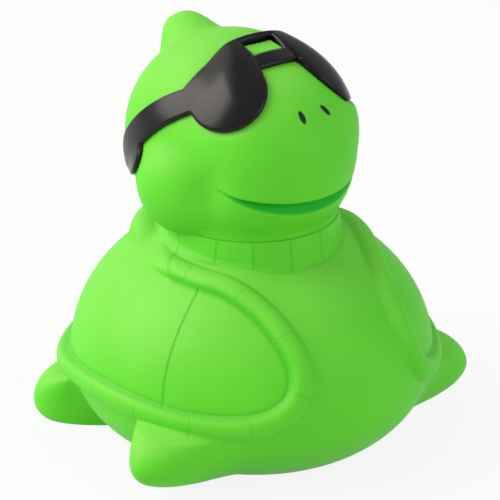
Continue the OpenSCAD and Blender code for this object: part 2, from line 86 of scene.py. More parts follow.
# %% Maths helpers
def ramp(value, start, end):
    """0 at start and 1 at end, eased between them; it falls where end is the smaller one."""
    t = np.clip((value - start) / (end - start), 0, 1)
    return t * t * (3 - 2 * t)


def mix(a, b, t):
    return a + (b - a) * t


def melt(a, b, width):
    near = np.maximum(width - np.abs(a - b), 0) / width
    return np.maximum(a, b) + near * near * width / 4


def hump(t, power):
    """1 in the middle, 0 at both ends, and round between them."""
    return (1 - np.minimum(np.abs(t), 1) ** power) ** (1 / power)


def far_side(direction, centre, half):
    """How far a ray from the origin goes until it leaves an ellipsoid."""
    q = -np.asarray(centre, float) / half
    e = direction / np.asarray(half, float)
    ee, qe = (e * e).sum(-1), (e * q).sum(-1)
    inside = qe ** 2 - ee * ((q * q).sum() - 1)
    return np.where(inside > 0, (np.sqrt(np.maximum(inside, 0)) - qe) / ee, 0)


def smooth_course(points, steps):
    """A soft curve through points, as a table of its own points."""
    p = np.asarray(points, float)
    p = np.vstack([p[:1], p, p[-1:]])
    t = np.linspace(0, 1, steps, endpoint=False)[:, None]
    runs = []
    for a, b, c, d in zip(p[:-3], p[1:-2], p[2:-1], p[3:]):
        bend, twist = 2 * a - 5 * b + 4 * c - d, 3 * b - a - 3 * c + d
        runs.append((2 * b + (c - a) * t + bend * t ** 2 + twist * t ** 3) / 2)
    return np.vstack(runs + [p[-1:]])


print("halfway up a ramp:", float(ramp(0.5, 0, 1)))

# %% [markdown]
# A skin is a stack of rings with the same number of points, joined by four-sided faces. This
# helper turns such a stack into a mesh, welds the points that fall together at a pole, and
# stores extra numbers on the points, such as the distance to a groove. An image could carry
# these lines too, but numbers on the points need no file and stay sharp on any mesh.

# %% Mesh helper
def skin_from_rings(name, rings, closed_up=False, marks=None):
    """rings: rows x columns x 3 in millimetres; closed_up joins the last ring to the first."""
    rows, columns, _ = rings.shape
    index = np.arange(rows * columns).reshape(rows, columns)
    index = np.hstack([index, index[:, :1]])
    if closed_up:
        index = np.vstack([index, index[:1]])
    corners = [index[:-1, :-1], index[:-1, 1:], index[1:, 1:], index[1:, :-1]]
    quads = np.stack(corners, -1).reshape(-1, 4)
    mesh = bpy.data.meshes.new(name)
    mesh.vertices.add(rows * columns)
    mesh.vertices.foreach_set("co", (rings * MM).astype(np.float32).ravel())
    mesh.loops.add(quads.size)
    mesh.loops.foreach_set("vertex_index", quads.astype(np.int32).ravel())
    mesh.polygons.add(len(quads))
    mesh.polygons.foreach_set("loop_start", np.arange(0, quads.size, 4, dtype=np.int32))
    mesh.polygons.foreach_set("use_smooth", np.ones(len(quads), bool))
    mesh.update(calc_edges=True)
    for key, values in (marks or {}).items():
        mark = mesh.attributes.new(key, "FLOAT", "POINT")
        mark.data.foreach_set("value", values.astype(np.float32).ravel())
    weld = bmesh.new()
    weld.from_mesh(mesh)
    bmesh.ops.remove_doubles(weld, verts=weld.verts, dist=1e-7)
    weld.to_mesh(mesh)
    weld.free()
    piece = bpy.data.objects.new(name, mesh)
    bpy.context.scene.collection.objects.link(piece)
    print(name, "has", len(mesh.polygons), "faces")
    return piece


# %% [markdown]
# The body is a low dome with a flat base. Around it the radius is given for every angle and
# height: a bulging belly in front, higher shoulders at the sides, an upright collar on top, and
# soft feet that swell out near the floor. Separate balls joined together would leave hard
# creases; one radius for each direction leaves none. Angles start at the front and grow to both
# sides.

# %% Body form
DOME_R, DOME_Z, DOME_DROP = 38.8, 17.5, 23.5
BELLY_RISE, SIDE_RISE, NAPE_RISE, BELLY_OUT = 28.7, 31.0, 32.5, 0.8
FRONT_TO_SIDE, SIDE_TO_NAPE, BELLY_EDGE = (12, 50), (80, 140), 50
NECK_Z, COLLAR_R, COLLAR_TAPER, COLLAR_H = 49.0, 19.6, 1.2, 8.0
COLLAR_MELT, NAPE_MELT, NAPE_TURNS = 1.1, 3.4, (50, 90)
FRONT_FOOT = dict(turn=65.5, out=9.5, z=9.2, soft_w=17.8, half_w=5.6, half_h=7.6, power=1.8)
REAR_FOOT = dict(turn=132, out=8.8, z=3.6, soft_w=0, half_w=7.4, half_h=8.3, power=2.2)


def foot_share(turn, z, foot):
    """1 in the middle of a foot, 0 outside it; a soft slope joins a front foot to the belly."""
    off = np.radians(turn - foot["turn"])
    across = DOME_R * np.sin(off)
    round_side = hump(across / foot["half_w"], foot["power"])
    soft_side = ramp(across, -foot["soft_w"], 0) if foot["soft_w"] else round_side
    upward = hump((z - foot["z"]) / foot["half_h"], foot["power"])
    share = np.where(off < 0, soft_side, round_side) * upward
    return np.where(np.abs(off) < np.pi / 2, share, 0)


def dome_radius(turn, z):
    rise = mix(BELLY_RISE, SIDE_RISE, ramp(turn, *FRONT_TO_SIDE))
    rise = rise + (NAPE_RISE - SIDE_RISE) * ramp(turn, *SIDE_TO_NAPE)
    t = np.where(z > DOME_Z, (z - DOME_Z) / rise, (DOME_Z - z) / DOME_DROP)
    belly = BELLY_OUT * ramp(turn, BELLY_EDGE, 0)
    return (DOME_R + belly) * np.sqrt(np.maximum(1 - t ** 2, 0))


def collar_radius(z):
    return COLLAR_R - COLLAR_TAPER * np.clip((z - NECK_Z) / COLLAR_H + 1, 0, 1)


def foot_reach(angle, z):
    """How far the feet stand out of the dome."""
    dome = r = dome_radius(np.abs(angle), z)
    for foot in (FRONT_FOOT, REAR_FOOT):
        r = mix(r, DOME_R + foot["out"], foot_share(np.abs(angle), z, foot))
    return r - dome


def upright(r, angle, z):
    a = np.radians(angle)
    return np.stack([r * np.sin(a), -r * np.cos(a), z + 0 * r], -1)


def shell_point(angle, z):
    """A point of the body without its feet and rim."""
    turn = np.abs(angle)
    width = COLLAR_MELT + NAPE_MELT * ramp(turn, *NAPE_TURNS)
    return upright(melt(dome_radius(turn, z), collar_radius(z), width), angle, z)


def shell_normal(angle, z):
    step = 0.05
    across = shell_point(angle + step, z) - shell_point(angle - step, z)
    up = shell_point(angle, z + step) - shell_point(angle, z - step)
    n = np.cross(across, up)
    return n / np.linalg.norm(n, axis=-1, keepdims=True)


print("radius at the base:", round(float(dome_radius(np.array(0.0), np.array(0.0))), 1), "mm")

# %% [markdown]
# The shell's edge is a round roll. It starts as a thick lip behind the neck, sinks beside the
# collar, comes forward over the shoulder, turns down beside the belly and runs back above the
# feet. A separate tube would show a seam, so the roll is a swelling of the skin itself: its
# course is a list of angles and of shares of the body's height, and each point of the skin
# learns how far it is from that course, and on which side.

# %% Shell rim
RIM_COURSE = [
    (180, 0.905), (150, 0.905), (127, 0.9), (105, 0.885), (85, 0.87), (65, 0.862), (48, 0.845),
    (35, 0.79), (27, 0.71), (22.5, 0.61), (22.5, 0.515), (26, 0.435), (33, 0.38), (43, 0.357),
    (57, 0.355), (75, 0.375), (90, 0.38), (110, 0.36), (135, 0.33), (180, 0.32),
]
RIM_STEPS, AT_ONCE = 40, 4000
rim_turns = smooth_course(RIM_COURSE, RIM_STEPS)
rim_points = shell_point(rim_turns[:, 0], rim_turns[:, 1] * NECK_Z)
rim_normals = shell_normal(rim_turns[:, 0], rim_turns[:, 1] * NECK_Z)
rim_steps = np.linalg.norm(np.diff(rim_points, axis=0), axis=1)
rim_lengths = np.concatenate([[0], np.cumsum(rim_steps)])
rim_ways = np.gradient(rim_points, axis=0)
rim_ways /= np.linalg.norm(rim_ways, axis=1, keepdims=True)
rim_inward = np.cross(rim_normals, rim_ways)


def rim_marks(points):
    """For each point: its distance to the rim's course, more than zero towards the shell,
    its place along the course, and the rim's own outward direction there."""
    grid = points.shape[:-1]
    half = points.reshape(-1, 3) * 1.0
    half[:, 0] = np.abs(half[:, 0])
    side, along, out = np.empty(len(half)), np.empty(len(half)), np.empty_like(half)
    for start in range(0, len(half), AT_ONCE):
        part = slice(start, start + AT_ONCE)
        gap = half[part][:, None, :] - rim_points[None]
        k = (gap ** 2).sum(-1).argmin(1)
        gap = gap[np.arange(len(k)), k]
        step = (gap * rim_ways[k]).sum(1)
        off = np.sqrt(np.maximum((gap ** 2).sum(1) - step ** 2, 0))
        side[part] = np.where((gap * rim_inward[k]).sum(1) > 0, off, -off)
        along[part] = rim_lengths[k] + step
        out[part] = rim_normals[k]
    out[:, 0] *= np.where(points.reshape(-1, 3)[:, 0] < 0, -1, 1)
    return side.reshape(grid), along.reshape(grid), out.reshape(points.shape)


print("rim length on one side:", round(float(rim_lengths[-1])), "mm")

# %% [markdown]
# Now the outside of the body is put together. The rows are spaced evenly along the curve of the
# shoulder, so no part of the mesh is coarse. The rim's profile is round and steep towards the
# shell, where the mould left a crease, and soft towards the belly. Where a foot meets the rim,
# the two heights are joined by a soft sum, as clay would be.

# %% Body outside
RIM_H, RIM_INNER, RIM_OUTER, LIP_H, LIP_HALF = 1.9, 2.4, 2.9, 3.4, 4.6
ROLL_POWER, ROLL_STEEP, ROLL_SOFT = 2.2, 0.55, 0.9
LIP_TURNS, SUNK_TURNS, STOUT_TURNS, STOUT_MORE = (112, 132), (76, 110), (98, 122), 0.6
FOOT_UNDER_RIM, FOOT_SUM, SHOULDER_Z, COLLAR_Z = (1.0, -3.0), 3, 21, 45
COLLAR_TOP_R = COLLAR_R - COLLAR_TAPER
columns = np.linspace(-180, 180, 720, endpoint=False)
shoulder = np.degrees(np.arcsin([(z - DOME_Z) / SIDE_RISE for z in (SHOULDER_Z, COLLAR_Z)]))
shoulder_rows = np.radians(np.linspace(*shoulder, 130, endpoint=False))
rows = np.concatenate([
    np.linspace(0, SHOULDER_Z, 90, endpoint=False), DOME_Z + SIDE_RISE * np.sin(shoulder_rows),
    np.linspace(COLLAR_Z, NECK_Z, 26),
])
angle, height = np.meshgrid(columns, rows)
turn = np.abs(angle)
skin = shell_point(angle, height)
rim_side, rim_along, rim_out = rim_marks(skin)
upper = (height > 2 * DOME_Z) * 1.0
swell = upper * ramp(turn, *LIP_TURNS)
sunk = upper * ramp(turn, *SUNK_TURNS) * (1 - swell)
across = np.clip(np.where(rim_side > 0, rim_side / RIM_INNER, -rim_side / RIM_OUTER), 0, 1)
stout = 1 + STOUT_MORE * ramp(turn, *STOUT_TURNS) * (1 - upper)
roll = RIM_H * stout * (1 - across ** ROLL_POWER) ** np.where(rim_side > 0, ROLL_STEEP, ROLL_SOFT)
lip = LIP_H * np.maximum(1 - (rim_side / LIP_HALF) ** 2, 0)
bead = mix(roll * (1 - sunk), lip, swell)
push = mix(shell_normal(angle, height), rim_out, swell[..., None])
push /= np.linalg.norm(push, axis=-1, keepdims=True)
foot = foot_reach(angle, height) * ramp(rim_side, *FOOT_UNDER_RIM)
foot_more = (bead ** FOOT_SUM + foot ** FOOT_SUM) ** (1 / FOOT_SUM) - bead
outside = skin + push * bead[..., None] + upright(foot_more, angle, 0)
outside[-1] = upright(np.full_like(columns, COLLAR_TOP_R), columns, NECK_Z)
print("the rim stands", round(float(bead.max()), 1), "mm high")
print("the feet stand", round(float(foot.max()), 1), "mm out")

# %% [markdown]
# The real toy is hollow, so the body gets a second wall inside, a sleeve that holds the neck,
# and a recess under the base for the squeaker's flange. A Solidify modifier could make a wall,
# but not the sleeve and the recess, so the inner rings are simply added to the stack.

# %% Body rings
PLUG_R, RECESS_R, RECESS_H, BASE_T, WALL = 7.06, 9.56, 1.5, 3.5, 2.0
BORE_R, SLEEVE_R, SLEEVE_Z, LEAN_LEAST = 16.0, 17.8, 39.5, 0.4


def level_ring(angles, r, z):
    return upright(np.full_like(angles, r), angles, z)[None]


inner_angle, inner_height = np.meshgrid(columns, np.linspace(BASE_T, SLEEVE_Z, 30))
lean = np.linalg.norm(shell_normal(inner_angle, inner_height)[..., :2], axis=-1)
inner_r = np.linalg.norm(shell_point(inner_angle, inner_height)[..., :2], axis=-1)
inner_r -= WALL / np.maximum(lean, LEAN_LEAST)
inside = upright(np.maximum(inner_r, SLEEVE_R), inner_angle, inner_height)[::-1]
under_rings = [level_ring(columns, r, z) for r, z in (
    (PLUG_R, RECESS_H), (RECESS_R, RECESS_H), (RECESS_R, 0),
)]
sleeve_rings = [level_ring(columns, r, z) for r, z in (
    (BORE_R, NECK_Z), (BORE_R, SLEEVE_Z), (SLEEVE_R, SLEEVE_Z),
)]
plug_rim = level_ring(columns, PLUG_R, BASE_T)
body_rings = np.concatenate([*under_rings, outside, *sleeve_rings, inside, plug_rim])
print("the body has", len(body_rings), "rings of", len(columns), "points")

# %% [markdown]
# Fine lines part the shell into plates, and short ones part the collar into tiles. On the real
# toy they are scratches in the mould, too thin to model as faces. Each point stores its distance
# to the nearest line, and the vinyl's material dents the skin there and paints shade into it.

# %% Body skin
FAR, OFF_RIM = 99.0, 20.0
SEAM_TURN, SEAM_BOW, SEAM_Z, SEAM_HALF, BACK_SEAMS = 65.2, 3.2, 24, 17.5, (140, 180)
RIM_FRONT, TILE_TURN, TILE_DROP = 22.5, 24, 0.6
COLLAR_LOW, COLLAR_FADE, FADE_TURNS = 38, 8, (70, 100)


def outside_mark(values):
    """Gives the hidden rings a far-away mark, so that no line is drawn on them."""
    full = np.full(body_rings.shape[:2], FAR)
    full[len(under_rings):len(under_rings) + len(values)] = values
    return full


side_seam = SEAM_TURN - SEAM_BOW * ((height - SEAM_Z) / SEAM_HALF) ** 2
seam_off = np.min([np.abs(turn - seam) for seam in (side_seam, *BACK_SEAMS)], axis=0)
seam_off = np.radians(seam_off) * np.linalg.norm(skin[..., :2], axis=-1)
upper_rim = np.interp(turn, *np.array(RIM_COURSE)[9::-1].T) * NECK_Z
lower_rim = np.interp(turn, *np.array(RIM_COURSE)[10:].T) * NECK_Z
on_shell = (height > lower_rim) & (height < upper_rim) & (turn > RIM_FRONT)
collar_fade = COLLAR_FADE * ramp(turn, *FADE_TURNS)
collar_gap = dome_radius(turn, height) - collar_radius(height)
on_collar = (height > COLLAR_LOW) & (collar_gap < TILE_DROP)
tile_off = np.radians(np.abs(TILE_TURN / 2 - turn % TILE_TURN)) * COLLAR_R
foot_off = np.where(height > COLLAR_LOW, np.abs(collar_gap) + collar_fade, FAR)
turtle_body = skin_from_rings("turtle_body", body_rings, closed_up=True, marks={
    "rim_side": outside_mark(rim_side + OFF_RIM * (sunk + swell)),
    "rim_along": outside_mark(rim_along),
    "scute_off": outside_mark(np.where(on_shell, seam_off, FAR)),
    "collar_gap": outside_mark(foot_off),
    "tile_off": outside_mark(np.where(on_collar, tile_off + collar_fade, FAR)),
})
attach(turtle_body, "body")
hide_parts("body_skin")

# %% [markdown]
# The head is a second casting. Its radius is given for each direction from the head's centre: a
# broad cranium, a rounder face, a wide jaw and two cheeks melt together, a small knob grows at
# the back, and a shallow fold sets the cheek off from the corner of the mouth. Metaballs could
# give such a form too, but they would not keep these sizes.

# %% Head form
HEAD_RISE = 15.0
HEAD_C = np.array([0, 0, NECK_Z + HEAD_RISE])
CRANIUM, FACE = ((0, 6, 0), (22, 24.5, 22.4)), ((0, -6, 0.7), (18.5, 17.5, 18.3))
JAW, CHEEK = ((0, 0.7, -6.5), (20, 19.6, 15)), ((12, 2.5, -5.5), (13, 12.5, 12.5))
SKULL_MELT, CHEEK_MELT = 4, 2
KNOB_EL, KNOB_H, KNOB_SPREAD, KNOB_FLAT = 39.5, 5.8, 17, 1.2
FOLD_DEEP, FOLD_TURN, FOLD_EL, FOLD_W, FOLD_TALL = 1.2, 60.0, -7.0, 10, 14


def aim_at(angle, el):
    a, e = np.radians(angle), np.radians(el)
    return np.stack([np.cos(e) * np.sin(a), -np.cos(e) * np.cos(a), np.sin(e) + 0 * a], -1)


def head_radius(d):
    m = d * 1.0
    m[..., 0] = np.abs(m[..., 0])
    r = melt(far_side(m, *CRANIUM), far_side(m, *FACE), SKULL_MELT)
    r = melt(r, far_side(m, *JAW), SKULL_MELT)
    r = melt(r, far_side(m, *CHEEK), CHEEK_MELT)
    knob = np.degrees(np.arccos(np.clip(d @ aim_at(180, KNOB_EL), -1, 1)))
    turn = np.degrees(np.arctan2(m[..., 0], -m[..., 1]))
    el = np.degrees(np.arcsin(np.clip(m[..., 2], -1, 1)))
    fold = np.exp(-((turn - FOLD_TURN) / FOLD_W) ** 2 - ((el - FOLD_EL) / FOLD_TALL) ** 2)
    return r + KNOB_H * ramp(KNOB_FLAT * (1 - knob / KNOB_SPREAD), 0, 1) - FOLD_DEEP * fold


CROWN_Z = float(HEAD_C[2] + head_radius(aim_at(np.array(0.0), np.array(90.0))))
print("top of the head:", round(CROWN_Z, 1), "mm")

# %% [markdown]
# The sunglasses are a separate hard moulding. Their outline is a band around a tilted ring: two
# arms, a raised brow, and a deep drop-shaped lens on each side, with a small window through the
# bridge. Two edges, one below and one above, say how far the band reaches at each turn. They come
# before the head's skin, because the soft face swells up against the lenses.

# %% Sunglasses outline
TILT = math.radians(32.0)
RING_FRONT = np.array([0, -math.cos(TILT), math.sin(TILT)])
RING_UP = np.array([0, math.sin(TILT), math.cos(TILT)])
ARM_LAT, ARM_HALF, ARM_BEND, ARM_END, ARM_DROOP, ARM_TIP = 28.6, 7.6, 66.0, 128.0, 16.8, 10.0
EAR_TURN, EAR_W, EAR_LAT, EAR_DEEP, EAR_POWER = 116.5, 13.0, 14.0, 11.0, 2.5
BROW_LAT, BROW_TURN, BROW_POWER, BRIDGE_LAT = 21.0, 67.0, 2.4, 32.5
LENS_TURN, LENS_LAT, LENS_DEEP, LENS_NOSE, LENS_OUT = 39.0, 28.0, 25.3, 23.5, 25.3
TEMPLE_MELT, TIP_LEAST, NO_LENS = 3, 0.003, 90


def ring_aim(angle, lat):
    a, b = np.radians(angle), np.radians(lat)
    side = np.stack([np.sin(a), 0 * a, 0 * a], -1)
    level = side + np.cos(a)[..., None] * RING_FRONT
    return np.cos(b)[..., None] * level + np.sin(b)[..., None] * RING_UP


def ring_place(d):
    """Turn and latitude of a direction, measured in the tilted ring."""
    lat = np.degrees(np.arcsin(np.clip(d @ RING_UP, -1, 1)))
    return np.degrees(np.arctan2(d[..., 0], d @ RING_FRONT)), lat


def arm_middle(turn):
    return ARM_LAT - ARM_DROOP * np.maximum((turn - ARM_BEND) / (ARM_END - ARM_BEND), 0) ** 2


def arm_half(turn):
    to_tip = np.maximum((turn - ARM_END) / ARM_TIP + 1, 0)
    return ARM_HALF * np.sqrt(np.maximum(1 - to_tip ** 2, TIP_LEAST))


def lower_edge(angle):
    turn = np.abs(angle)
    t = (turn - LENS_TURN) / np.where(turn < LENS_TURN, LENS_NOSE, LENS_OUT)
    drop = LENS_DEEP * np.sqrt(np.maximum(1 - t ** 2, 0))
    lens = np.where(np.abs(t) < 1, LENS_LAT - drop, NO_LENS)
    arm = arm_middle(turn) - arm_half(turn)
    ear = EAR_LAT - EAR_DEEP * hump((turn - EAR_TURN) / EAR_W, EAR_POWER)
    ear = np.where(np.abs(turn - EAR_TURN) < EAR_W, ear, arm)
    temple = np.minimum(-melt(-arm, -lens, TEMPLE_MELT), ear)
    return np.where(turn < LENS_TURN, np.minimum(BRIDGE_LAT, lens), temple)


def upper_edge(angle):
    turn = np.abs(angle)
    brow = BROW_LAT * (1 - np.minimum(turn / BROW_TURN, 1) ** BROW_POWER)
    return arm_middle(turn) + arm_half(turn) + brow


print("the brow is at", float(upper_edge(np.array(0.0))), "degrees")

# %% [markdown]
# The smile is a real hollow in the face. Cutting it out of a finished mesh would leave ragged
# edges, so the rows of the mesh run along both lips from the start: below row 2 lies the chin,
# from row 2 to row 3 the hollow, and above row 3 the face. The upper lip becomes a crisp ledge,
# while the lower lip rolls out softly.

# %% Face rows
MOUTH_TURN, LIP_EL, CHIN_EL, CORNER_EL = 59.0, -14.2, -24.0, -8.3
MOUTH_DEEP, LEDGE, LIP_LEAST, UNDER_CHIN = 2.2, 0.06, 3, 6


def mouth_share(angle):
    return np.minimum((angle / MOUTH_TURN) ** 2, 1)


def lip_line(angle):
    return mix(LIP_EL, CORNER_EL, mouth_share(angle))


def chin_line(angle):
    return np.minimum(mix(CHIN_EL, CORNER_EL, mouth_share(angle)), lip_line(angle) - LIP_LEAST)


head_columns = np.linspace(-180, 180, 480, endpoint=False)
edge_el = math.degrees(math.atan(HEAD_RISE / COLLAR_TOP_R))
row_runs = ((0, 1, 24), (1, 2, 20), (2, 2.9, 24), (2.9, 3 + LEDGE, 12), (3 + LEDGE, 4, 130))
head_rows = np.concatenate([np.linspace(*run, endpoint=False) for run in row_runs])
turn, row = np.meshgrid(head_columns, head_rows)
el = np.select(
    [row < 1, row < 2, row < 3],
    [
        mix(-edge_el - UNDER_CHIN, -edge_el + UNDER_CHIN, row),
        mix(-edge_el + UNDER_CHIN, chin_line(turn), row - 1),
        mix(chin_line(turn), lip_line(turn), row - 2),
    ],
    mix(lip_line(turn), 90, row - 3),
)
gape = np.where((row > 2) & (row < 3), ramp(row, 2, 3) * ramp(row, 3, 3 - LEDGE), 0)
gape = gape * (1 - mouth_share(turn))
print("the face has", len(head_rows), "rows; the smile is", MOUTH_DEEP, "mm deep")

# %% [markdown]
# Three small swellings tie the head to its neighbours. The vinyl rises as a brim below the
# lenses, more so on the toy's left, where the lens lies flush with the cheek. A low pad fills the
# window in the bridge, so that green shows there. And at the neck the head melts into the
# collar's width. They are added to the radius before the points are made, so no edge shows.

# %% Face relief
BRIM_H, BRIM_RIGHT, BRIM_RISE, BRIM_FALL = 1.2, 1 / 3, (0, 4), (30, 3)
BRIM_NOSE, BRIM_TEMPLE = (14, 46), (68, 50)
WINDOW_EL, WINDOW_W, WINDOW_L, PAD_H, PAD_GAP, PAD_EDGE = 80.5, 7.4, 4.5, 0.85, 0.25, 0.15
NECK_IN, NECK_EL, NECK_MELT, NEVER = 0.4, -15, 1.2, 1e9
ray = aim_at(turn, el)
ring_turn, ring_lat = ring_place(ray)
below, aside = lower_edge(ring_turn) - ring_lat, np.abs(ring_turn)
brim = np.where(ring_turn > 0, BRIM_H, BRIM_H * BRIM_RIGHT)
brim = brim * ramp(below, *BRIM_RISE) * ramp(below, *BRIM_FALL)
brim = brim * ramp(aside, *BRIM_NOSE) * ramp(aside, *BRIM_TEMPLE)
reach = head_radius(ray) + brim - MOUTH_DEEP * gape

window_out = aim_at(np.array(0.0), np.array(WINDOW_EL))
window_back = aim_at(np.array(180.0), np.array(90 - WINDOW_EL))
pad_top = (head_radius(window_out[None])[0] + PAD_H) / np.maximum(ray @ window_out, 0.1)
pad_x = WINDOW_W / 2 - PAD_GAP - np.abs(ray[..., 0] * reach)
pad_l = WINDOW_L / 2 - PAD_GAP - np.abs(ray @ window_back * reach)
on_pad = ramp(pad_x, -PAD_EDGE, PAD_EDGE) * ramp(pad_l, -PAD_EDGE, PAD_EDGE)
reach = mix(reach, pad_top, on_pad * (ray @ window_out > 0.8))

neck_reach = (COLLAR_TOP_R - NECK_IN) / np.cos(np.radians(np.minimum(el, 0)))
reach = np.where(el < NECK_EL, melt(reach, neck_reach, NECK_MELT), reach)
floor_reach = np.where(ray[..., 2] < 0, HEAD_RISE / np.maximum(-ray[..., 2], 1e-6), NEVER)
face = HEAD_C + ray * np.minimum(reach, floor_reach)[..., None]
print("the brim stands", round(float(brim.max()), 1), "mm high, the pad", PAD_H, "mm")

# %% [markdown]
# Like the body, the head is a hollow skin. Its lining follows the outside one wall further in,
# and steps back behind the smile. Below, a round spigot goes into the collar's sleeve. From the
# lining's top down to the spigot and up over the face it is one unbroken stack of rings, which
# closes at a pole inside and another at the crown.

# %% Head skin
SPIGOT_R, SPIGOT_IN, SPIGOT_Z = 15.94, 13.94, 41.0
BEHIND_EL, BEHIND_FADE = -19, (16, 5)
spigot_el = math.degrees(math.atan((HEAD_RISE - WALL) / SPIGOT_IN))
lining_rows = np.linspace(90, -spigot_el, 60, endpoint=False)
lining_turn, lining_el = np.meshgrid(head_columns, lining_rows)
lining_ray = aim_at(lining_turn, lining_el)
behind_mouth = MOUTH_DEEP * ramp(np.abs(lining_el - BEHIND_EL), *BEHIND_FADE)
behind_mouth = behind_mouth * (1 - mouth_share(lining_turn))
lining_floor = (HEAD_RISE - WALL) / np.maximum(-lining_ray[..., 2], 1e-6)
lining_reach = np.minimum(head_radius(lining_ray) - WALL - behind_mouth, lining_floor)
lining = HEAD_C + lining_ray * lining_reach[..., None]
spigot_rings = [level_ring(head_columns, r, z) for r, z in (
    (SPIGOT_IN, NECK_Z + WALL), (SPIGOT_IN, SPIGOT_Z), (SPIGOT_R, SPIGOT_Z), (SPIGOT_R, NECK_Z),
)]
crown = level_ring(head_columns, 0.0, CROWN_Z)
head_rings = np.concatenate([lining, *spigot_rings, face, crown])
in_mouth = np.maximum(1 - mouth_share(turn), 0) ** 0.5 * ramp((row - 2) * 3, 0, 1)
mouth_mark = np.zeros(head_rings.shape[:2])
mouth_mark[len(lining) + len(spigot_rings):-1] = np.where((row > 2) & (row <= 3), in_mouth, 0)
turtle_head = skin_from_rings("turtle_head", head_rings, marks={"mouth": mouth_mark})
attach(turtle_head, "head")
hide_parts("head_skin")

# %% [markdown]
# The band of the sunglasses is laid on the head as a grid of turns and latitudes. A Shrinkwrap
# modifier could press a flat band on the head, but it would pull the window out of square. So
# four lines run along the band: its lower edge, the two long edges of the window, and its upper
# edge. Rows of points fill the strips between them, and the cells of the window are left out.

# %% Sunglasses grid
IN_WINDOW, TO_LENS, STRIP, BROW_CORNER, FIRST_GUESS = 24, 46, 23, 19, 22.0
CUFF = (58, 70)


def window_point(x, along):
    """Turn and latitude of the point of the head that lies at x and along in the window's frame."""
    out = np.full_like(x, FIRST_GUESS)
    across, back, up = np.array([1, 0, 0]), window_back, window_out
    for _ in range(6):
        p = x[..., None] * across + along[..., None] * back + out[..., None] * up
        size = np.linalg.norm(p, axis=-1)
        reach = head_radius(p / size[..., None])
        out = np.sqrt(np.maximum(reach ** 2 - x ** 2 - along ** 2, 1))
    return ring_place(p / size[..., None])


nose = np.linspace(0, 1, IN_WINDOW + 1)
to_lens = np.linspace(0, 1, TO_LENS + 1)[1:]
ear_start, tip_start, corner = EAR_TURN - EAR_W, ARM_END - ARM_TIP, LENS_TURN - LENS_NOSE
rest_columns = np.concatenate([
    np.linspace(LENS_TURN, CUFF[0], 32)[1:], np.linspace(*CUFF, 30)[1:],
    np.linspace(CUFF[1], ear_start, 44)[1:],
    mix(ear_start, tip_start, np.linspace(0, 1, 36)[1:] ** 2),
    mix(ARM_END, tip_start, np.linspace(1, 0, 20)[1:] ** 2),
])
nose_turns = np.concatenate([corner * nose[:-1], [corner - 0.01]])
edge_turns = [
    np.concatenate([nose_turns, mix(corner, LENS_TURN, to_lens ** 2), rest_columns]),
    None, None,
    np.concatenate([BROW_CORNER * nose, mix(BROW_CORNER, LENS_TURN, to_lens), rest_columns]),
]
edge_lats = [lower_edge(edge_turns[0]), None, None, upper_edge(edge_turns[3])]
side_x, brow_top, at_lens = WINDOW_W / 2 * nose, upper_edge(np.array(0.0)), np.array(LENS_TURN)
for line_number, side in ((1, -1), (2, 1)):
    turns, lats = window_point(side_x, np.full_like(side_x, side * WINDOW_L / 2))
    share = (lats[0] - BRIDGE_LAT) / (brow_top - BRIDGE_LAT)
    rest_lats = mix(lower_edge(rest_columns), upper_edge(rest_columns), share)
    lens_lat = mix(lower_edge(at_lens), upper_edge(at_lens), share)
    lens_lats = mix(lats[-1], lens_lat, ramp(to_lens, 0, 1))
    lens_turns = mix(turns[-1], LENS_TURN, to_lens)
    edge_turns[line_number] = np.concatenate([turns, lens_turns, rest_columns])
    edge_lats[line_number] = np.concatenate([lats, lens_lats, rest_lats])
print("each line of the band has", len(edge_turns[0]), "points on one side")

# %% [markdown]
# The four lines are filled with rows that lie closer together near each line, where the edges
# will be rounded. The left half is a mirror of the right one. A table of cells then says which
# ones are kept.

# %% Sunglasses cells
ease = 0.5 - 0.5 * np.cos(np.linspace(0, np.pi, STRIP + 1))[:, None]


def fill_strips(lines):
    strips = [mix(lines[k], lines[k + 1], ease[:-1]) for k in range(3)]
    return np.vstack(strips + [lines[3][None]])


half_turn, half_lat = fill_strips(edge_turns), fill_strips(edge_lats)
band_turn = np.hstack([-half_turn[:, :0:-1], half_turn])
band_lat = np.hstack([half_lat[:, :0:-1], half_lat])
band_rows, band_columns = band_turn.shape
first, last = band_columns // 2 - IN_WINDOW, band_columns // 2 + IN_WINDOW
kept = np.ones((band_rows - 1, band_columns - 1), bool)
kept[STRIP:2 * STRIP, first:last] = False
print("sunglasses grid:", band_turn.shape, "with", int((~kept).sum()), "cells left out")

# %% [markdown]
# The real frame is a plate of even plastic with soft edges, a thicker brow and slightly bulging
# lenses. Its underside lies just off the head. The top is the underside pushed out by the
# thickness, which falls off in a quarter round towards every edge, as a moulded edge does. A
# Bevel modifier could round the edges too, but not on cells this small.

# %% Sunglasses thickness
GLASSES_T, BROW_MORE, LENS_BULGE, GLASSES_GAP, EDGE_R = 0.9, 1.4, 0.8, 0.2, 0.65
BULGE_TURN, BULGE_HALF, BROW_TURNS = 36, 24, (52, 26)
band_ray = ring_aim(band_turn, band_lat)
under_side = HEAD_C + band_ray * (head_radius(band_ray) + GLASSES_GAP)[..., None]
window_rows, window_columns = slice(STRIP, 2 * STRIP + 1), slice(first, last + 1)
frame_line = np.concatenate([
    under_side[0], under_side[-1],
    under_side[STRIP, window_columns], under_side[2 * STRIP, window_columns],
    under_side[window_rows, first], under_side[window_rows, last],
])
edge_off = np.array([
    np.sqrt(((points[:, None] - frame_line[None]) ** 2).sum(-1).min(1)) for points in under_side
])
band_low, band_high, turn = lower_edge(band_turn), upper_edge(band_turn), np.abs(band_turn)
share = np.clip((band_lat - band_low) / (band_high - band_low), 0, 1)
bulge = ramp(np.abs(turn - BULGE_TURN), BULGE_HALF, 0) * (1 - (2 * share - 1) ** 2)
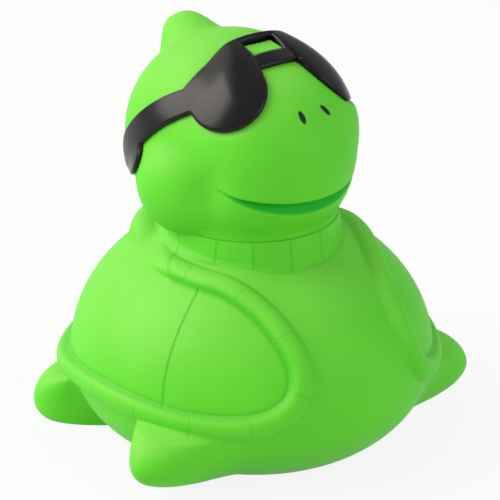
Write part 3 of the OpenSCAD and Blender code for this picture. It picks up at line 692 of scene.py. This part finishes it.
thick = GLASSES_T + BROW_MORE * share * ramp(turn, *BROW_TURNS) + LENS_BULGE * bulge
rounded = np.sqrt(1 - (1 - np.minimum(edge_off / EDGE_R, 1)) ** 2)
top_side = under_side + band_ray * (thick - EDGE_R + EDGE_R * rounded)[..., None]
print("the plate is", round(float(thick.min()), 1), "to", round(float(thick.max()), 1), "mm thick")

# %% [markdown]
# Last, the two grids become one closed plate: faces on top, the same faces turned over below,
# and a wall along every edge that has no neighbour, the window's edges among them.

# %% Sunglasses plate
def plate(name, top, under, kept):
    count = top.shape[0] * top.shape[1]
    index = np.arange(count).reshape(top.shape[:2])
    corners = (index[:-1, :-1], index[:-1, 1:], index[1:, 1:], index[1:, :-1])
    a, b, c, d = (corner[kept] for corner in corners)
    faces = [np.stack([a, b, c, d], 1), np.stack([d, c, b, a], 1) + count]
    full = np.pad(kept, 1)
    sides = ((-1, 0, a, b), (0, 1, b, c), (1, 0, c, d), (0, -1, d, a))
    for rows_to, columns_to, start, end in sides:
        neighbour = np.roll(full, (-rows_to, -columns_to), (0, 1))[1:-1, 1:-1][kept]
        start, end = start[~neighbour], end[~neighbour]
        faces.append(np.stack([end, start, start + count, end + count], 1))
    points = np.concatenate([top.reshape(-1, 3), under.reshape(-1, 3)])
    used, faces = np.unique(np.vstack(faces), return_inverse=True)
    mesh = bpy.data.meshes.new(name)
    mesh.from_pydata((points[used] * MM).tolist(), [], faces.reshape(-1, 4).tolist())
    mesh.polygons.foreach_set("use_smooth", np.ones(len(mesh.polygons), bool))
    piece = bpy.data.objects.new(name, mesh)
    bpy.context.scene.collection.objects.link(piece)
    print(name, "has", len(mesh.polygons), "faces")
    return piece


sunglasses_piece = plate("dark_sunglasses", top_side, under_side, kept)
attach(sunglasses_piece, "head")
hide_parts("sunglasses")

# %% [markdown]
# Materials are node trees. They could be wired up link by link, but that hides the idea. One
# small class wraps a socket, so that shader maths reads like plain Python: adding two wires adds
# a Math node. Its method node makes every other node from a type, settings and sockets.

# %% Shader helper
class Wire:
    def __init__(self, tree, socket=None):
        self.tree, self.socket = tree, socket

    def node(self, kind, settings, sockets, output=0):
        made = self.tree.nodes.new(kind)
        for name, value in settings.items():
            setattr(made, name, value)
        for key, value in sockets.items():
            if isinstance(value, Wire):
                self.tree.links.new(value.socket, made.inputs[key])
            else:
                made.inputs[key].default_value = value
        return Wire(self.tree, made.outputs[output])

    def math(self, operation, *values):
        return self.node("ShaderNodeMath", {"operation": operation}, dict(enumerate(values)))

    def __add__(self, other):
        return self.math("ADD", self, other)

    __radd__ = __add__

    def __sub__(self, other):
        return self.math("SUBTRACT", self, other)

    def __rsub__(self, other):
        return self.math("SUBTRACT", other, self)

    def __mul__(self, other):
        return self.math("MULTIPLY", self, other)

    __rmul__ = __mul__

    def __truediv__(self, other):
        return self.math("DIVIDE", self, other)

    def __rtruediv__(self, other):
        return self.math("DIVIDE", other, self)

    def step(self, start, end):
        """0 before start and 1 after end, eased between them."""
        limits = {0: self, 1: start, 2: end, 3: 0.0, 4: 1.0}
        return self.node("ShaderNodeMapRange", {"interpolation_type": "SMOOTHSTEP"}, limits)

    def blend(self, first, second):
        """Mixes two colours by this wire."""
        return self.node("ShaderNodeMix", {"data_type": "RGBA"}, {0: self, 6: first, 7: second}, 2)

    def toward(self, way):
        """How far this vector goes along a direction."""
        product = {"operation": "DOT_PRODUCT"}
        return self.node("ShaderNodeVectorMath", product, {0: self, 1: way}, "Value")


def new_finish(name):
    material = bpy.data.materials.new(name)
    material.use_nodes = True
    return material, Wire(material.node_tree), material.node_tree.nodes["Principled BSDF"]


def feed(board, shader, **sockets):
    for name, value in sockets.items():
        target = shader.inputs[name.replace("_", " ")]
        if isinstance(value, Wire):
            board.tree.links.new(value.socket, target)
        else:
            target.default_value = value


def noise(board, place, scale, detail):
    sockets = {"Vector": place, "Scale": scale, "Detail": detail}
    return board.node("ShaderNodeTexNoise", {}, sockets)


def dented(board, height):
    """A normal for a height in millimetres."""
    sockets = {"Height": height, "Strength": 1.0, "Distance": MM}
    return board.node("ShaderNodeBump", {}, sockets)


print("shader helper ready")

# %% [markdown]
# Soft vinyl is nearly smooth: a satin green with faint cloudiness from the pigment, a very fine
# skin texture from the mould, and a few pale scuffs. Faces that look up are painted paler, a
# painted highlight for the light that falls on them. A photograph of vinyl would repeat and show
# its own light, so the ground is mixed from noise, which has no seams.

# %% Green vinyl
VINYL = (0.120, 0.655, 0.025, 1)
# Deeper green for the pigment's cloudiness, and for the painted shade in grooves and creases.
VINYL_DEEP_AND_SHADE = (0.046, 0.460, 0.012, 1)
# Pale green for the scuffs, and for the painted highlight on faces that look up.
VINYL_SCUFF_AND_LIT = (0.205, 0.620, 0.070, 1)
# Direction and strength of that painted highlight.
PAINTED_LIGHT_WAY, PAINTED_LIGHT_SHARE = (-0.35, 0.1, 0.93), 0.7
GRAIN_H = 0.008


def vinyl_ground(board):
    """Place on the piece, cloudy colour with a painted highlight on top, and fine texture height in
    mm.
    """
    place = board.node("ShaderNodeTexCoord", {}, {}, "Object")
    cloud = noise(board, place, 60.0, 2.0)
    colour = (cloud.step(0.35, 0.75) * 0.2 + 0.8).blend(VINYL_DEEP_AND_SHADE, VINYL)
    facing = board.node("ShaderNodeNewGeometry", {}, {}, "Normal")
    # Painted highlight: faces that look up are mixed towards the pale green, as if lit from above.
    colour = (facing.toward(PAINTED_LIGHT_WAY).step(0.4, 1.0) * PAINTED_LIGHT_SHARE).blend(colour, VINYL_SCUFF_AND_LIT)
    spot = board.node("ShaderNodeTexVoronoi", {}, {"Vector": place, "Scale": 55.0})
    rub = noise(board, place, 900.0, 3.0)
    scuff = (1 - spot.step(0.02, 0.05)) * rub.step(0.5, 0.62) * 0.5
    return place, scuff.blend(colour, VINYL_SCUFF_AND_LIT), noise(board, place, 1400.0, 2.0) * GRAIN_H


def mark(board, name):
    """A number that is stored on the points of the mesh."""
    return board.node("ShaderNodeAttribute", {"attribute_name": name}, {}, "Fac")


def line(distance, half_width):
    """1 in the middle of a groove, 0 beside it."""
    return 1 - distance.step(half_width * 0.2, half_width)


def finish_vinyl(board, shader, colour, height):
    normal = dented(board, height)
    feed(board, shader, Base_Color=colour, Normal=normal, Roughness=0.52, Specular_IOR_Level=0.22)


print("vinyl ground ready")

# %% [markdown]
# Grooves collect shade, and here that shade is painted. Each line that is stored on the body
# darkens the colour a little as painted shade, and the thin ones also dent the surface through a
# Bump node: the seams of the shell, the links of the rim, the tiles of the collar, the crease
# inside the rim and the foot of the collar. The crease and the collar's foot are painted shade
# only, with no dent.

# %% Body vinyl
LINK_START, LINK_HALF, GROOVE_H = 43.1, 6.1, 0.22
body_vinyl, board, shader = new_finish("body_vinyl")
place, colour, height_mm = vinyl_ground(board)
side = mark(board, "rim_side")
# Painted shade in the crease inside the rim.
rim_crease_shade = line(board.math("ABSOLUTE", side - RIM_INNER), 1.1)
on_rim = side.step(-2.4, -1.8) * (1 - side.step(1.8, 2.3))
link_off = board.math("PINGPONG", mark(board, "rim_along") - LINK_START, LINK_HALF)
links = line(link_off, 0.4) * on_rim
seams = line(mark(board, "scute_off"), 0.45) * side.step(2.0, 2.4)
# Painted shade along the foot of the collar.
collar_foot_shade = line(mark(board, "collar_gap"), 1.0)
tiles = line(mark(board, "tile_off"), 0.45)
fine = board.math("MAXIMUM", seams * 0.6, board.math("MAXIMUM", links * 0.2, tiles * 0.4))
broad_shade = board.math("MAXIMUM", rim_crease_shade * 0.45, collar_foot_shade * 0.3)
# All these lines darken the colour as painted shade.
colour = board.math("MAXIMUM", fine, broad_shade).blend(colour, VINYL_DEEP_AND_SHADE)
finish_vinyl(board, shader, colour, height_mm - fine * GROOVE_H)
turtle_body.data.materials.append(body_vinyl)
print("body vinyl has", len(body_vinyl.node_tree.nodes), "nodes")

# %% [markdown]
# On the head, the hollow of the smile is painted a deeper green and the two nostrils are small
# dark slots. The nostrils are ellipsoids in the paint: each is measured from its own middle
# along two directions that lie in the skin, and into the head, so that it stays on the face.

# %% Head vinyl
MOUTH_GREEN = (0.001, 0.440, 0.010, 1)
NOSTRIL_BLACK = (0.010, 0.016, 0.008, 1)
NOSTRILS = ((-7.1, 30.5, 9.0), (10.9, 31.0, 30.0))
NOSTRIL_HALVES, NOSTRIL_H = (1.5, 0.62, 6.0), 0.35
head_vinyl, board, shader = new_finish("head_vinyl")
place, colour, height_mm = vinyl_ground(board)
colour = mark(board, "mouth").step(0.05, 0.9).blend(colour, MOUTH_GREEN)
slots = []
for nostril_turn, nostril_el, slant in NOSTRILS:
    out_way = aim_at(np.array(nostril_turn), np.array(nostril_el))
    centre = (HEAD_C + out_way * head_radius(out_way[None])[0]) * MM
    up = np.cross(out_way, np.cross([0, 0, 1.0], out_way))
    across = np.cross(up, out_way)
    lean_cos, lean_sin = math.cos(math.radians(slant)), math.sin(math.radians(slant))
    ways = (up * lean_cos - across * lean_sin, up * lean_sin + across * lean_cos, out_way)
    minus = {"operation": "SUBTRACT"}
    offset = board.node("ShaderNodeVectorMath", minus, {0: place, 1: tuple(centre)})
    far = [
        offset.toward(tuple(way / np.linalg.norm(way))) / (half * MM)
        for way, half in zip(ways, NOSTRIL_HALVES)
    ]
    apart = board.math("SQRT", far[0] * far[0] + far[1] * far[1] + far[2] * far[2])
    slots.append(1 - apart.step(0.75, 1.1))
nostrils = board.math("MAXIMUM", *slots)
colour = nostrils.blend(colour, NOSTRIL_BLACK)
finish_vinyl(board, shader, colour, height_mm - nostrils * NOSTRIL_H)
turtle_head.data.materials.append(head_vinyl)
print("head vinyl has", len(head_vinyl.node_tree.nodes), "nodes")

# %% [markdown]
# The sunglasses are hard glossy plastic. Black plastic is never perfectly even: it carries soft
# ripples from the mould and a little dust in the gloss, so the colour and the roughness vary
# faintly. Flat black would look like a hole in the picture.

# %% Black plastic
BLACK, BLACK_PALE, RIPPLE_H = (0.002, 0.002, 0.002, 1), (0.005, 0.005, 0.005, 1), 0.01
black_plastic, board, shader = new_finish("black_plastic")
place = board.node("ShaderNodeTexCoord", {}, {}, "Object")
ripple = noise(board, place, 120.0, 2.0)
dust = noise(board, place, 2500.0, 2.0)
feed(
    board, shader, Base_Color=ripple.step(0.3, 0.7).blend(BLACK, BLACK_PALE),
    Roughness=0.26 + dust * 0.04, Normal=dented(board, ripple * RIPPLE_H), Specular_IOR_Level=0.26,
)
sunglasses_piece.data.materials.append(black_plastic)
print("black plastic has", len(black_plastic.node_tree.nodes), "nodes")

# %% [markdown]
# The squeaker hides in the base. Its solids are already exact, so they stay and only get their
# finishes: an ivory moulded plastic with a faint grain, and a thin amber film for the reed.

# %% Squeaker finishes
def moulded(name, light, dark, roughness):
    material, board, shader = new_finish(name)
    place = board.node("ShaderNodeTexCoord", {}, {}, "Object")
    cloud = noise(board, place, 150.0, 3.0)
    grain = noise(board, place, 2600.0, 2.0)
    feed(
        board, shader, Base_Color=cloud.step(0.3, 0.7).blend(dark, light),
        Roughness=roughness + cloud * 0.1, Normal=dented(board, grain * 0.01),
    )
    return material


ivory = moulded("ivory_plastic", (0.80, 0.78, 0.68, 1), (0.72, 0.69, 0.58, 1), 0.38)
amber = moulded("amber_film", (0.62, 0.42, 0.14, 1), (0.52, 0.33, 0.10, 1), 0.25)
for name in ("squeaker_housing", "squeaker_grille", "reed_seat", "squeaker_reed", "reed_clamp"):
    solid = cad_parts[name]
    solid.data.materials.clear()
    solid.data.materials.append(amber if name == "squeaker_reed" else ivory)
print("squeaker solids finished")

# %% [markdown]
# The stage is a plain pale floor that fills the picture. It lies a hair below the base, so that
# the two never flicker through each other. Brighter lamps could make it white, but they would
# bleach the toy. Instead the floor shows itself white to the camera and to reflections, and it
# still takes the toy's soft shadow.

# %% Stage
WIDE, LOW, WHITE_SHARE = 3.0, -0.00005, 0.88
RAYS = ("Is Camera Ray", "Is Glossy Ray", "Is Transmission Ray")
floor_mesh = bpy.data.meshes.new("floor")
corners = [(-WIDE, -WIDE, LOW), (WIDE, -WIDE, LOW), (WIDE, WIDE, LOW), (-WIDE, WIDE, LOW)]
floor_mesh.from_pydata(corners, [], [(0, 1, 2, 3)])
floor = bpy.data.objects.new("floor", floor_mesh)
bpy.context.scene.collection.objects.link(floor)
floor_white, board, shader = new_finish("floor_white")
feed(board, shader, Base_Color=(0.7, 0.7, 0.7, 1), Roughness=0.9)
seen_by = [board.node("ShaderNodeLightPath", {}, {}, kind) for kind in RAYS]
seen = board.math("MAXIMUM", board.math("MAXIMUM", seen_by[0], seen_by[1]), seen_by[2])
glow = board.node("ShaderNodeEmission", {}, {"Color": (1, 1, 1, 1), "Strength": 1.0})
lit = Wire(board.tree, shader.outputs[0])
whole = board.node("ShaderNodeMixShader", {}, {0: seen * WHITE_SHARE, 1: lit, 2: glow})
board.tree.links.new(whole.socket, board.tree.nodes["Material Output"].inputs["Surface"])
floor_mesh.materials.append(floor_white)
print("the floor is", 2 * WIDE, "m wide")

# %% [markdown]
# A white world lifts all shadows. On top of it, a large warm lamp stands on the left and makes
# the form read, a second one behind lights the crown and the shell, and a weaker white one in
# front keeps the face clear. A sunlamp would be simpler, but its hard shadows would hide the
# soft relief, so all three lamps are large areas.

# %% Light
WARM, WHITE, WORLD_STRENGTH = (1.0, 0.94, 0.86), (1, 1, 1), 0.57


def soft_lamp(name, place, power, size, colour):
    lamp = bpy.data.lights.new(name, "AREA")
    lamp.energy, lamp.size, lamp.color = power, size, colour
    holder = bpy.data.objects.new(name, lamp)
    holder.location = place
    holder.rotation_euler = (middle - Vector(place)).to_track_quat("-Z", "Y").to_euler()
    bpy.context.scene.collection.objects.link(holder)
    print(name, "gives", power, "W")


world = bpy.context.scene.world or bpy.data.worlds.new("studio")
bpy.context.scene.world = world
world.use_nodes = True
backdrop = world.node_tree.nodes["Background"]
backdrop.inputs["Color"].default_value = (1, 1, 1, 1)
backdrop.inputs["Strength"].default_value = WORLD_STRENGTH
soft_lamp("key_lamp", (-0.88, 0.5, 0.75), 12.2, 0.8, WARM)
soft_lamp("back_lamp", (-0.35, 0.9, 0.95), 5.0, 1.2, WARM)
soft_lamp("front_lamp", (0.35, -1.15, 0.6), 4.0, 0.9, WHITE)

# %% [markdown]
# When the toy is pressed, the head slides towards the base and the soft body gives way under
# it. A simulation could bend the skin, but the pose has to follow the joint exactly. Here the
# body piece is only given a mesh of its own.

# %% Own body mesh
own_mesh(turtle_body)
